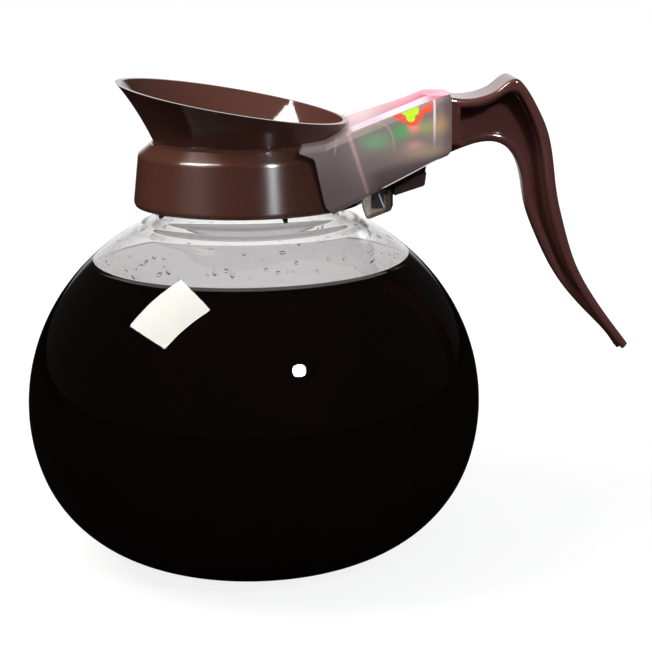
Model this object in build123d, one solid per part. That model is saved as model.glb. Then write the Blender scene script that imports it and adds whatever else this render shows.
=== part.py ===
from build123d import *
import os
from math import cos, hypot, radians, sin, tan

# Glass coffee decanter with a pouring funnel and a handle that holds a freshness light.
# Millimetres. The origin is the centre of the bowl's flat base, +Z is up and +X points to the handle.

BASE = (Align.CENTER, Align.CENTER, Align.MIN)

# Glass bowl: two half ellipses on one widest circle, a flat base and a straight neck
BOWL_RADIUS = 82.5
BOWL_WIDEST_Z = 55.5
BOWL_RISE = 76.3
BOWL_DROP = 74.6
BASE_ROUND = 50.0
GLASS = 2.2
NECK_RADIUS = 32.6
NECK_ROOT = 3.0
NECK_TOP = 146.6
RIM_BEAD = 1.8
RIM_BEAD_INSET = 0.2
RIM_BEAD_DROP = 0.3

# Clearances that several pieces share
FACE_GAP = 0.05
FIT_GAP = 0.15
LOOSE_GAP = 0.3

# How far a cutting shape reaches: just past the face that it opens, or past the whole module
PAST = 1.0
BEYOND = 60.0

# Heights from here on are measured from the glass rim. The module, the lever, the handle and the
# band's ears are also measured along X from the neck's outer wall.

# Steel band that grips the neck below the rim bead, with two ears and a cross screw
BAND_TALL = 7.5
BAND_THICK = 0.8
BAND_UNDER_BEAD = 0.2
BAND_LOW = -(RIM_BEAD_DROP + 2 * RIM_BEAD + BAND_UNDER_BEAD + BAND_TALL)
EAR_REACH = 10.6
EAR_SPACE = 5.0
EAR_ROUND = 3.0
BAND_SCREW = 3.0
BAND_SCREW_X = 6.6
BAND_SCREW_HEAD = 5.4
BAND_SCREW_HEAD_TALL = 1.9
BAND_NUT_FLATS = 5.5
BAND_NUT_TALL = 2.4
BAND_SCREW_SPARE = 1.0
BAND_SCREW_SLOT = 0.8
BAND_SCREW_SLOT_DEEP = 0.7

# Collar: a skirt that tapers up to a sloped shoulder
COLLAR_WALL = 2.2
COLLAR_SPACE = 8.9
COLLAR_RADIUS = NECK_RADIUS + COLLAR_SPACE
COLLAR_LIP_IN = 0.5
COLLAR_LIP_RADIUS = COLLAR_RADIUS - COLLAR_LIP_IN
COLLAR_LIP_WALL = 2.0
COLLAR_LIP_TALL = 1.2
COLLAR_LOW = -17.2
COLLAR_RADIUS_Z = COLLAR_LOW + COLLAR_LIP_TALL
COLLAR_DRAFT = 2.1
COLLAR_SHOULDER_RADIUS = COLLAR_RADIUS - COLLAR_DRAFT
COLLAR_TOP_Z = 4.6
COLLAR_TOP_WALL = 3.6
COLLAR_SHOULDER_DROP = 3.5
COLLAR_SHOULDER_Z = COLLAR_TOP_Z - COLLAR_SHOULDER_DROP
COLLAR_HOLE_SPACE = 1.6
COLLAR_HOLE = NECK_RADIUS + COLLAR_HOLE_SPACE
COLLAR_TOP_LAND = 0.7
COLLAR_TOP_RADIUS = COLLAR_HOLE + COLLAR_TOP_LAND
COLLAR_ROUND = 2.2
NOTCH_HALF = 9.0
NOTCH_TOP = -1.4

# Spacer ring that centres the collar on the neck, with thin fins that end below the skirt
SPACER_RISE = 0.4
SPACER_LOW = COLLAR_LOW + SPACER_RISE
SPACER_UNDER_BAND = 0.4
SPACER_TALL = BAND_LOW - SPACER_UNDER_BAND - SPACER_LOW
SPACER_WALL = 2.6
SPACER_FINS = 5
SPACER_FIN_THICK = 1.4
SPACER_FIN_DROP = 2.0
SPACER_FIN_LOW = COLLAR_LOW - SPACER_FIN_DROP
SPACER_GAP_ANGLE = 50.0

# Pouring funnel: a seat in the collar, a sleeve in the neck, and a flare to a tilted rim.
# The ovals of the flare say how much wider they are than the foot, along and across.
GASKET_THICK = 1.2
GASKET_WIDE = 1.8
FUNNEL_WALL = 1.9
FUNNEL_SEAT_TALL = 3.2
FUNNEL_FLARE_Z = 5.7
FUNNEL_FOOT_RADIUS = COLLAR_HOLE - FIT_GAP
FUNNEL_MID = dict(x=-1.45, z=9.6, tilt=4.0, along=1.75, across=2.85)
FUNNEL_RIM = dict(x=-5.4, z=18.8, tilt=10.6, along=7.65, across=10.75)
SLEEVE_LOW = -8.6
SLEEVE_WALL = 1.8
SLEEVE_GAP = 0.2

# Light module housing: half width, floor, top and the top's arch at each station along X
HOUSE_X = (-18.6, -6.6, 24.0, 28.0, 31.4, 34.6, 37.4, 38.6)
HOUSE_HALF = (40.4, 35.0, 21.3, 19.5, 18.0, 16.0, 14.0, 12.8)
HOUSE_FLOOR = (-23.4, -18.4, -5.8, -4.1, -2.7, -1.6, -0.8, 0.4)
HOUSE_TOP = (6.4, 6.8, 16.8, 18.2, 19.2, 19.8, 19.9, 19.3)
HOUSE_CROWN = (0.3, 0.6, 1.4, 1.8, 2.2, 2.4, 2.4, 2.0)
HOUSE_ROUND = 2.4
HOUSE_WALL = 2.2
HOUSE_FLOOR_THICK = 3.6
SADDLE_GAP = 0.4
SADDLE_WALL = 2.8
CAVITY_BACK = 33.4
HOOK_TIP = (-15.8, 4.6)
HOOK_CROWN = (-14.0, 7.4)
HOOK_ROOT = (-10.6, 2.3)
WING_FOOT = (-7.2, -14.2)
WING_TOE = (-4.4, -17.2)
HOOK_ROOT_ROUND = 2.0
WING_FOOT_ROUND = 3.0

# The module's own sloping axes: u runs back and up along the floor, w stands square to it
SLOPE_X = 13.4
SLOPE_Z = -10.1
SLOPE = 22.4

# Base plate under the module, with the foot that carries the heat sensor
PLATE_THICK = 2.0
PLATE_HALF = 13.6
PLATE_BACK = 32.6
PLATE_FRONT = 15.6
TAB_FRONT = 14.4
SEAL_THICK = 0.8
SEAL_WIDE = 1.3
LEDGE_WIDE = 1.6
FOOT_HALF = 6.2
FOOT_FRONT = 6.8
FOOT_TIP = (8.8, -24.3)
FOOT_HEEL = (17.6, -21.0)
FOOT_BACK = 18.4
FOOT_FRONT_LOW = -15.2
FOOT_BACK_LOW = -19.0
FOOT_ROUND = 1.4
SENSOR_HALF = 3.6
SENSOR_LONG = 4.2
SENSOR_TALL = 5.6
SENSOR_FRONT = 10.6
SENSOR_SKIN = 0.9
LEAD_RADIUS = 0.45
LEAD_Y = 3.0
LEAD_INSET = 0.7
LEAD_ON_SENSOR = 2.9

# Latch lever under the base plate
PIVOT_X = 16.0
PIVOT_Z = -14.6
PIN_RADIUS = 1.0
PIN_GAP = 0.05
KNUCKLE_RADIUS = 2.3
KNUCKLE_LEFT = -3.0
KNUCKLE_RIGHT = 0.9
LEVER_SLOT_HALF = 3.2
LEVER_HALF = 6.2
LEVER_ROOT_X = 19.0
LEVER_END_X = 29.8
LEVER_TOP_DROP = 4.4
LEVER_THICK = 3.4
LEVER_SLANT = 17.2
LEVER_END_LEAN = 0.6
LEVER_END_ROUND = 1.4
LINK_INSET = 0.3
NOSE_FRONT_X = 28.0
NOSE_TIP_X = 31.55
NOSE_LONG = 2.2
NOSE_SHOULDER_DROP = 0.3
NOSE_ROOT_DEEP = 1.2
NOSE_HEEL_RISE = 1.6
NOSE_HALF = 3.6
NOSE_RISE = 0.9
NOSE_POCKET_DEEP = 1.3
NOSE_POCKET_GAP = 0.45
NOSE_POCKET_FRONT_GAP = 1.1
SPRING_WIRE = 0.4
SPRING_COIL_RADIUS = 1.5
SPRING_TURNS = 2
SPRING_PITCH = 0.85
SPRING_POINT_COUNT = 36

# Handle: side outlines, plate thicknesses and the tongue that runs through the module
HANDLE_GAP = 0.1
HANDLE_START_X = HOUSE_X[-1] + HANDLE_GAP
OUTER_PATH = ((HANDLE_START_X, 19.4), (44.9, 18.8), (50.6, 19.8), (55.6, 22.2), (58.8, 24.7), (61.6, 25.5),
              (64.3, 23.4), (68.6, 16.6), (72.6, 8.0), (75.0, -2.4), (76.7, -15.0), (79.8, -28.0),
              (84.0, -41.0), (90.0, -52.2), (96.4, -61.6), (103.9, -71.6))
FLANGE_PATH = ((HANDLE_START_X, 16.0), (44.9, 15.6), (50.4, 16.4), (55.6, 18.7), (58.8, 20.6), (61.6, 20.6),
               (64.2, 18.0), (68.0, 10.8), (71.1, 1.0), (72.6, -9.2), (74.4, -20.2), (77.9, -33.4),
               (82.6, -45.2), (89.0, -56.4), (95.0, -65.0), (102.0, -73.7))
INNER_PATH = ((HANDLE_START_X, -1.1), (43.6, 0.7), (50.6, 2.6), (56.4, 2.2), (61.2, -1.2), (64.2, -7.2),
              (66.6, -20.0), (70.8, -31.8), (76.1, -43.0), (82.2, -52.4), (88.6, -59.8), (94.6, -66.0),
              (101.2, -74.5))
FLANGE_HALF_TOP = 12.0
FLANGE_HALF_TIP = 9.0
FLANGE_ROUND = 1.3
WEB_THICK = 3.6
WEB_FILLET = 1.6
BEAD_THICK = 3.4
BEAD_HALF = 4.2
BEAD_ROUND = 1.4
LONG_EDGE = 60.0
PLUG_HALF = 11.6
PLUG_LOW = 2.0
PLUG_HIGH = 18.2
PLUG_ROUND = 2.0
PLUG_FRONT_X = 32.0
PLUG_ROOT = 3.0
TONGUE_HALF = 11.6
TONGUE_FRONT_U = 5.6
TONGUE_THICK = 6.0
LUG_FRONT_X = 3.0
LUG_BACK_X = 12.0
LUG_TRIM = 1.4
TONGUE_OVERLAP = 3.0
LUG_TALL = 5.0

# Screws that hold the base plate and the circuit board to the tongue
BASE_SCREW_U = (8.0, 17.6)
BASE_SCREW_Y = 9.6
BASE_SCREW = 2.4
BASE_SCREW_HEAD = 4.2
BASE_SCREW_HEAD_TALL = 1.1
BASE_SCREW_DEEP = 4.2
BOARD_SCREW = 1.8
BOARD_SCREW_HEAD = 3.4
BOARD_SCREW_HEAD_TALL = 1.2
BOARD_SCREW_DEEP = 3.2
BOARD_SCREW_U = (8.0, 22.4)
BOARD_SCREW_Y = 9.2
POST_RADIUS = 2.4
SCREW_SUNK = 0.2
CROSS_LONG = 0.58
CROSS_WIDE = 0.15
CROSS_DEEP = 0.5

# Electronics, placed by u and w in the module's sloping axes
BOARD_FRONT_U = 5.2
BOARD_BACK_U = 24.2
BOARD_HALF = 13.0
BOARD_W = 12.2
BOARD_THICK = 1.4
LED_U = 19.4
LED_SPACING = 5.2
LED_RADIUS = 1.5
LED_BODY_TALL = 1.2
LED_RIM_RADIUS = 1.9
LED_RIM_TALL = 0.7
GUIDE_CLEAR = 0.15
GUIDE_CENTRE_W = BOARD_W + BOARD_THICK + FACE_GAP + LED_BODY_TALL + LED_RADIUS + GUIDE_CLEAR
GUIDE_THICK = 0.9
GUIDE_HALF_LONG = 5.2
GUIDE_RISE = 0.8
GUIDE_HALF = 8.6
GUIDE_LEG = 1.2
GUIDE_LEG_FRONT = 1.6
GUIDE_LEG_BACK = 0.8
CHIP_SIZE = (4.4, 5.2, 1.2)
CHIP_U = 12.6
CHIP_LEG_REACH = 0.8
CHIP_LEG_INSET = 0.4
CHIP_LEG_THICK = 0.3
CELL_RADIUS = 5.8
CELL_THICK = 5.2
CELL_ROUND = 0.5
CELL_U = 8.6
CELL_W = 13.2
CELL_Y = 14.3
CLIP_THICK = 0.4
CLIP_WIDE = 5.0
CLIP_TALL = 8.0


def along(x):
    """Distance u of the floor line's point at x."""
    return (x - SLOPE_X) / cos(radians(SLOPE))


def sloped(u, y, w):
    """Frame at u, y, w whose local X runs along the module and whose local Z stands square to its floor."""
    turn = radians(SLOPE)
    place = (SLOPE_X + u * cos(turn) - w * sin(turn), y, SLOPE_Z + u * sin(turn) + w * cos(turn))
    return Plane(origin=place, x_dir=(cos(turn), 0, sin(turn)), z_dir=(-sin(turn), 0, cos(turn)))


def sloped_box(u_low, u_high, half, w_low, w_high, y=0.0):
    """Box between two values of u and two values of w, reaching half to each side of y."""
    shape = Box(u_high - u_low, 2 * half, w_high - w_low, align=BASE)
    return sloped((u_low + u_high) / 2, y, w_low) * shape


def above(w):
    """Everything over height w of the sloping axes."""
    return sloped_box(-BEYOND, BEYOND, BEYOND, w, BEYOND)


def spots(distances, y):
    """Screw places: each distance u on both sides of the middle."""
    return [(u, side * y) for u in distances for side in (-1, 1)]


def cross_slot(head):
    """Cross recess for a screw head of that diameter."""
    long, wide = CROSS_LONG * head, CROSS_WIDE * head
    return Box(long, wide, 2 * CROSS_DEEP) + Box(wide, long, 2 * CROSS_DEEP)


def ring(inner, outer, low, tall):
    """Plain ring round the neck's axis."""
    hole = Cylinder(inner, 3 * tall) if inner > 0 else None
    shape = Cylinder(outer, tall, align=BASE)
    return Pos(0, 0, low) * (shape - hole if hole else shape)


def turned(face):
    """Solid turned round the neck's axis from a face drawn in radius and height."""
    return revolve(Plane.XZ * face, Axis.Z)


def outline(points):
    """Face inside a closed run of straight lines."""
    return make_face(Polyline(*points, close=True))


def side_plate(face, half):
    """Plate drawn in X and Z, reaching half to each side of the middle plane."""
    return extrude(Plane.XZ * face, half, both=True)


def single(shape, group):
    """The one solid of a finished piece, under its label."""
    solids = shape.solids()
    assert len(solids) == 1, f"{group} has {len(solids)} solids"
    return solids[0]


def vessel(inset, top):
    """Belly and neck as one closed shape, drawn in by inset and cut off at top."""
    radius = BOWL_RADIUS - inset
    upper = EllipticalCenterArc((0, BOWL_WIDEST_Z), radius, BOWL_RISE - inset, 0, arc_size=90)
    lower = EllipticalCenterArc((0, BOWL_WIDEST_Z), radius, BOWL_DROP - inset, 0, arc_size=-90)
    neck_radius = NECK_RADIUS - inset
    neck = Rectangle(neck_radius, top - BOWL_WIDEST_Z, align=(Align.MIN, Align.MIN))
    below = Rectangle(2 * radius, 2 * radius, align=(Align.MIN, Align.MAX))
    face = make_face([upper, lower, Line(upper @ 1, lower @ 1)])
    face = face + Pos(0, BOWL_WIDEST_Z) * neck - Pos(0, inset) * below
    foot = face.vertices().filter_by(lambda v: v.X > PAST).sort_by(Axis.Y)[0]
    face = fillet(foot, BASE_ROUND - inset)
    root = face.vertices().filter_by(lambda v: abs(v.X - neck_radius) < FACE_GAP and v.Y < top - PAST)
    return turned(fillet(root[0], NECK_ROOT + inset))


def make_bowl():
    bead = turned(Pos(NECK_RADIUS - RIM_BEAD_INSET, NECK_TOP - RIM_BEAD - RIM_BEAD_DROP) * Circle(RIM_BEAD))
    return vessel(0, NECK_TOP) + bead - vessel(GLASS, NECK_TOP + GLASS)


def band_screw_z():
    return BAND_LOW + BAND_TALL / 2


def cross_rod(radius, y_low, y_high, x, z):
    """Round rod parallel to Y."""
    rod = Cylinder(radius, y_high - y_low, align=BASE)
    return Pos(x, y_low, z) * Rot(-90, 0, 0) * rod


def band_screw_hole():
    """Way of the cross screw through the ears and the lug between them."""
    return cross_rod(BAND_SCREW / 2 + FIT_GAP, -NOTCH_HALF, NOTCH_HALF, BAND_SCREW_X, band_screw_z())


def make_band():
    inner = NECK_RADIUS + FACE_GAP
    outer = inner + BAND_THICK
    band = ring(inner, outer, BAND_LOW, BAND_TALL)
    band -= Pos(outer, 0, band_screw_z()) * Box(outer, EAR_SPACE, 2 * BAND_TALL)
    ear_low, ear_high = NECK_RADIUS + BAND_THICK / 2, NECK_RADIUS + EAR_REACH
    for side in (-1, 1):
        ear = Box(ear_high - ear_low, BAND_THICK, BAND_TALL)
        ear = fillet(ear.edges().filter_by(Axis.Y).sort_by(Axis.X)[-2:], EAR_ROUND)
        y = side * (EAR_SPACE + BAND_THICK) / 2
        band += Pos((ear_low + ear_high) / 2, y, band_screw_z()) * ear
    band -= ring(0, inner, BAND_LOW - PAST, BAND_TALL + 2 * PAST)
    return band - Pos(NECK_RADIUS, 0, 0) * band_screw_hole()


def ear_face():
    """Distance of an ear's outer face from the middle plane."""
    return EAR_SPACE / 2 + BAND_THICK


def make_band_screw():
    z = band_screw_z()
    head_side = -ear_face() - FACE_GAP
    end = ear_face() + BAND_NUT_TALL + BAND_SCREW_SPARE
    shank = cross_rod(BAND_SCREW / 2, head_side, end, BAND_SCREW_X, z)
    head = cross_rod(BAND_SCREW_HEAD / 2, head_side - BAND_SCREW_HEAD_TALL, head_side, BAND_SCREW_X, z)
    head = fillet(head.edges().filter_by(GeomType.CIRCLE).sort_by(Axis.Y)[0], BAND_SCREW_HEAD_TALL / 3)
    slot = Box(BAND_SCREW_HEAD, 2 * BAND_SCREW_SLOT_DEEP, BAND_SCREW_SLOT)
    return shank + head - Pos(BAND_SCREW_X, head_side - BAND_SCREW_HEAD_TALL, z) * slot


def make_band_nut():
    blank = extrude(RegularPolygon(BAND_NUT_FLATS / 2, 6, major_radius=False), BAND_NUT_TALL)
    blank -= Cylinder(BAND_SCREW / 2 + FACE_GAP, 4 * BAND_NUT_TALL)
    return Pos(BAND_SCREW_X, ear_face() + FACE_GAP, band_screw_z()) * Rot(-90, 0, 0) * blank


def collar_inner_radius(z):
    """Inside radius of the collar's skirt at height z."""
    share = (z - COLLAR_RADIUS_Z) / (COLLAR_SHOULDER_Z - COLLAR_RADIUS_Z)
    return COLLAR_RADIUS + share * (COLLAR_SHOULDER_RADIUS - COLLAR_RADIUS) - COLLAR_WALL


def collar_mouth():
    """Inside radius of the collar's rolled lower lip."""
    return COLLAR_LIP_RADIUS - COLLAR_LIP_WALL


def collar_face(gap, floor, bore):
    """Radius and height outline of the collar, grown by gap, from a floor height in to a bore."""
    return outline((
        (bore, floor),
        (COLLAR_LIP_RADIUS + gap, floor),
        (COLLAR_RADIUS + gap, COLLAR_RADIUS_Z),
        (COLLAR_SHOULDER_RADIUS + gap, COLLAR_SHOULDER_Z + gap / 2),
        (COLLAR_TOP_RADIUS + gap / 2, COLLAR_TOP_Z + gap),
        (bore, COLLAR_TOP_Z + gap),
    ))


def make_collar():
    body = turned(collar_face(0, COLLAR_LOW, COLLAR_HOLE))
    soft_radius = (COLLAR_TOP_RADIUS + COLLAR_SHOULDER_RADIUS) / 2
    rims = body.edges().filter_by(GeomType.CIRCLE)
    rims = rims.filter_by(lambda e: e.radius > soft_radius and e.center().Z > COLLAR_LOW + PAST)
    body = fillet(rims, COLLAR_ROUND)
    inner_top = COLLAR_SHOULDER_Z - COLLAR_WALL
    hollow = turned(outline((
        (0, COLLAR_LOW - PAST),
        (collar_mouth(), COLLAR_LOW - PAST),
        (collar_mouth(), COLLAR_LOW),
        (collar_inner_radius(COLLAR_RADIUS_Z), COLLAR_RADIUS_Z),
        (collar_inner_radius(inner_top), inner_top),
        (COLLAR_HOLE, COLLAR_TOP_Z - COLLAR_TOP_WALL),
        (0, COLLAR_TOP_Z - COLLAR_TOP_WALL),
    )))
    notch_tall = NOTCH_TOP - COLLAR_LOW + PAST
    notch = Box(COLLAR_RADIUS, 2 * NOTCH_HALF, notch_tall, align=(Align.MIN, Align.CENTER, Align.MAX))
    return body - hollow - Pos(NECK_RADIUS, 0, NOTCH_TOP) * notch


def make_spacer():
    inner = NECK_RADIUS + FIT_GAP
    body = ring(inner, inner + SPACER_WALL, SPACER_LOW, SPACER_TALL)
    root = inner + SPACER_WALL / 2
    reach = min(collar_mouth(), collar_inner_radius(SPACER_LOW + SPACER_TALL)) - FIT_GAP
    fin = side_plate(outline((
        (root, SPACER_LOW),
        (reach, SPACER_FIN_LOW),
        (reach, SPACER_LOW + SPACER_TALL),
        (root, SPACER_LOW + SPACER_TALL),
    )), SPACER_FIN_THICK / 2)
    for i in range(SPACER_FINS):
        body += Rot(0, 0, 360 / SPACER_FINS * i) * fin
    far = 2 * COLLAR_RADIUS
    side = far * tan(radians(SPACER_GAP_ANGLE / 2))
    tall = SPACER_LOW + SPACER_TALL - SPACER_FIN_LOW + 2 * PAST
    wedge = extrude(outline(((0, 0), (far, -side), (far, side))), tall)
    return body - Pos(0, 0, SPACER_FIN_LOW - PAST) * wedge


def make_gasket():
    middle = NECK_RADIUS - GLASS / 2
    return ring(middle - GASKET_WIDE / 2, middle + GASKET_WIDE / 2, FACE_GAP, GASKET_THICK - FACE_GAP)


def rim_face(x, z, tilt, along, across, grow):
    """Oval section of the funnel, tipped so that its -X side is the higher one."""
    turn = radians(tilt)
    plane = Plane(origin=(x, 0, z), x_dir=(cos(turn), 0, -sin(turn)), z_dir=(sin(turn), 0, cos(turn)))
    return plane * Ellipse(FUNNEL_FOOT_RADIUS + along + grow, FUNNEL_FOOT_RADIUS + across + grow)


def funnel_flare(grow):
    """The funnel's flared wall as a closed shape, grown by grow."""
    foot = dict(x=0, z=FUNNEL_FLARE_Z, tilt=0, along=0, across=0)
    return loft([rim_face(**section, grow=grow) for section in (foot, FUNNEL_MID, FUNNEL_RIM)])


def make_funnel():
    bore = NECK_RADIUS - GLASS - SLEEVE_GAP - SLEEVE_WALL
    body = funnel_flare(0) + ring(0, FUNNEL_FOOT_RADIUS, GASKET_THICK, FUNNEL_FLARE_Z - GASKET_THICK)
    body += ring(0, NECK_RADIUS - GLASS - SLEEVE_GAP, SLEEVE_LOW, GASKET_THICK - SLEEVE_LOW)
    body -= funnel_flare(-FUNNEL_WALL)
    cone_low = FUNNEL_FLARE_Z - FUNNEL_SEAT_TALL / 2
    cone = Cone(bore, FUNNEL_FOOT_RADIUS - FUNNEL_WALL, FUNNEL_FLARE_Z - cone_low, align=BASE)
    body -= Pos(0, 0, cone_low) * cone
    return body - ring(0, bore, SLEEVE_LOW - PAST, FUNNEL_FLARE_Z - SLEEVE_LOW + PAST)


def at_station(values, x):
    """Value of a housing measure at x, between its stations."""
    for i in range(len(HOUSE_X) - 1):
        if x <= HOUSE_X[i + 1]:
            break
    share = (x - HOUSE_X[i]) / (HOUSE_X[i + 1] - HOUSE_X[i])
    return values[i] + share * (values[i + 1] - values[i])


def crowned(half, low, high, crown, corner):
    """Rounded rectangle between two heights, whose top edge is arched by crown."""
    face = Pos(0, (low + high) / 2) * RectangleRounded(2 * half, high - low, corner)
    flat = half - corner
    return face + make_face([ThreePointArc((-flat, high), (0, high + crown), (flat, high)),
                             Line((flat, high), (-flat, high))])


def house_form(side, top, floor, x_back, corner):
    """The module's outline with its sides, top and floor drawn in, up to x_back."""
    stations = [x for x in HOUSE_X if x < x_back] + [x_back]
    faces = []
    for x in stations:
        low = at_station(HOUSE_FLOOR, x) + floor
        high = at_station(HOUSE_TOP, x) - top
        half = at_station(HOUSE_HALF, x) - side
        plane = Plane(origin=(x, 0, 0), x_dir=(0, 1, 0), z_dir=(1, 0, 0))
        faces.append(plane * crowned(half, low, high, at_station(HOUSE_CROWN, x), corner))
    return loft(faces, ruled=True)


def neck_keepout(gap):
    """Space of the collar and the funnel, grown by gap."""
    drum = turned(collar_face(gap, 2 * COLLAR_LOW, 0))
    throat = ring(0, FUNNEL_FOOT_RADIUS + gap, COLLAR_LOW, FUNNEL_FLARE_Z - COLLAR_LOW)
    return Pos(-NECK_RADIUS, 0, 0) * (drum + throat + funnel_flare(gap))


def wing_front():
    """Side outline of the space that the housing may fill, with the hook over the collar's shoulder."""
    far = HOUSE_X[-1] + PAST
    deep = HOUSE_FLOOR[0] - PAST
    high = HOUSE_TOP[-1] + PAST
    above_hook, below_toe = (HOOK_CROWN[0], high), (WING_TOE[0], deep)
    face = outline((HOOK_TIP, HOOK_CROWN, above_hook, (far, high), (far, deep), below_toe,
                    WING_TOE, WING_FOOT, HOOK_ROOT))
    face = fillet(face.vertices().sort_by_distance(HOOK_ROOT)[0], HOOK_ROOT_ROUND)
    face = fillet(face.vertices().sort_by_distance(WING_FOOT)[0], WING_FOOT_ROUND)
    return side_plate(face, 2 * COLLAR_RADIUS)


def plate_recess(grow, w_low, w_high):
    """Space of the base plate's two steps, grown by grow."""
    u_front, u_back = along(PLATE_FRONT), along(PLATE_BACK)
    main = sloped_box(u_front - grow, u_back + grow, PLATE_HALF + grow, w_low, w_high)
    tab = sloped_box(along(FOOT_FRONT) - 2 * grow, u_front + PAST, FOOT_HALF + grow, w_low, w_high)
    return main + tab


def lug_window():
    """Way through the saddle for the tongue's lug, the band's ears and the cross screw."""
    tall = NOTCH_TOP - COLLAR_LOW + PAST
    box = Box(PLATE_FRONT, 2 * NOTCH_HALF, tall, align=(Align.MIN, Align.CENTER, Align.MAX))
    return Pos(0, 0, NOTCH_TOP) * box


def make_housing():
    shell = house_form(0, 0, 0, HOUSE_X[-1], HOUSE_ROUND) & wing_front()
    shell -= neck_keepout(SADDLE_GAP)
    cavity = house_form(HOUSE_WALL, HOUSE_WALL, HOUSE_FLOOR_THICK, CAVITY_BACK, HOUSE_ROUND / 2)
    cavity -= neck_keepout(SADDLE_GAP + SADDLE_WALL)
    shell -= cavity
    shell -= plate_recess(FIT_GAP, -PAST, PLATE_THICK + SEAL_THICK)
    u_front, u_back = along(PLATE_FRONT) + LEDGE_WIDE, along(PLATE_BACK) - LEDGE_WIDE
    shell -= sloped_box(u_front, u_back, PLATE_HALF - LEDGE_WIDE, 0, HOUSE_FLOOR_THICK + PAST)
    shell -= lug_window()
    return shell - plug(FIT_GAP)


def lug_clearance():
    """Space in front of the plate where the band's ears and the tongue's lug pass."""
    low = BAND_LOW - LOOSE_GAP
    tall = NOTCH_TOP - low
    return Pos(0, 0, low) * Box(TAB_FRONT, 2 * NOTCH_HALF, tall, align=(Align.MIN, Align.CENTER, Align.MIN))


def foot_face():
    """Side outline of the sensor foot below the plate."""
    top = SLOPE_Z + (FOOT_BACK - SLOPE_X) * tan(radians(SLOPE)) + PAST
    face = outline(((FOOT_FRONT, top), (FOOT_FRONT, FOOT_FRONT_LOW), FOOT_TIP, FOOT_HEEL,
                    (FOOT_BACK, FOOT_BACK_LOW), (FOOT_BACK, top)))
    return fillet(face.vertices().sort_by(Axis.Y)[:3], FOOT_ROUND)


def sensor_frame():
    """Frame at the sensor's lower front edge, with local X along the foot's sloping floor."""
    run, rise = FOOT_HEEL[0] - FOOT_TIP[0], FOOT_HEEL[1] - FOOT_TIP[1]
    low = FOOT_TIP[1] + (SENSOR_FRONT - FOOT_TIP[0]) * rise / run + SENSOR_SKIN
    return Plane(origin=(SENSOR_FRONT, 0, low), x_dir=(run, 0, rise), z_dir=(-rise, 0, run))


def sensor_box(grow):
    """Space of the heat sensor, seated on the foot's sloping floor."""
    box = Box(SENSOR_LONG + 2 * grow, 2 * (SENSOR_HALF + grow), SENSOR_TALL + 2 * grow,
              align=(Align.MIN, Align.CENTER, Align.MIN))
    return sensor_frame() * Pos(-grow, 0, -grow) * box


def lever_slot():
    """Space in the foot where the lever's knuckle and link swing."""
    half_tall = KNUCKLE_RADIUS + 2 * LOOSE_GAP
    slot = Cylinder(half_tall, 2 * LEVER_SLOT_HALF)
    for turn in (0, SLOPE):
        arm = Box(BEYOND, 2 * half_tall, 2 * LEVER_SLOT_HALF, align=(Align.MIN, Align.CENTER, Align.CENTER))
        slot += Rot(0, 0, turn) * arm
    return Pos(PIVOT_X, 0, PIVOT_Z) * Rot(90, 0, 0) * slot - above(0)


def make_base():
    foot = side_plate(foot_face(), FOOT_HALF) - above(PLATE_THICK)
    body = plate_recess(0, 0, PLATE_THICK) + foot - lug_clearance()
    body -= sensor_box(FIT_GAP)
    for y in (-LEAD_Y, LEAD_Y):
        body -= lead_rod(y, LEAD_RADIUS + FIT_GAP)
    body -= lever_slot()
    body -= cross_rod(PIN_RADIUS, -2 * FOOT_HALF, 2 * FOOT_HALF, PIVOT_X, PIVOT_Z)
    body -= nose_pocket()
    for u, y in spots(BASE_SCREW_U, BASE_SCREW_Y):
        shank = Cylinder(BASE_SCREW / 2 + FIT_GAP, PLATE_THICK + 2 * PAST, align=BASE)
        sink = Cylinder(BASE_SCREW_HEAD / 2 + FIT_GAP, BASE_SCREW_HEAD_TALL + PAST, align=BASE)
        body -= sloped(u, y, -PAST) * (shank + sink)
    return body


def nose_pocket():
    """Pocket in the plate's underside that the lever's nose catches in."""
    front, back = nose_u()
    half = NOSE_HALF + NOSE_POCKET_GAP
    return sloped_box(front - NOSE_POCKET_FRONT_GAP, back + NOSE_POCKET_GAP, half, -PAST, NOSE_POCKET_DEEP)


def nose_u():
    """The nose's front and back along the plate, where it enters the pocket."""
    back = along(NOSE_TIP_X)
    return back - NOSE_LONG, back


def lead_path(y):
    """Ends of one sensor lead, on the sensor's top and under the board."""
    start = sensor_frame().from_local_coords(Vector(LEAD_ON_SENSOR, y, SENSOR_TALL))
    top = sloped(BOARD_FRONT_U + LEAD_INSET, y, BOARD_W - FACE_GAP).origin
    return start, top


def lead_rod(y, radius):
    start, top = lead_path(y)
    run = top - start
    return Plane(origin=start, z_dir=run) * Cylinder(radius, run.length, align=BASE)


def make_leads():
    roof = above(BOARD_W - FACE_GAP)
    return [lead_rod(y, LEAD_RADIUS) - sensor_box(FACE_GAP) - roof for y in (-LEAD_Y, LEAD_Y)]


def make_seal():
    u_front, u_back = along(PLATE_FRONT), along(PLATE_BACK)
    low = PLATE_THICK + FACE_GAP
    high = PLATE_THICK + SEAL_THICK - FACE_GAP
    frame = sloped_box(u_front, u_back, PLATE_HALF, low, high)
    u_front, u_back = u_front + SEAL_WIDE, u_back - SEAL_WIDE
    return frame - sloped_box(u_front, u_back, PLATE_HALF - SEAL_WIDE, low - PAST, high + PAST)


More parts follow.
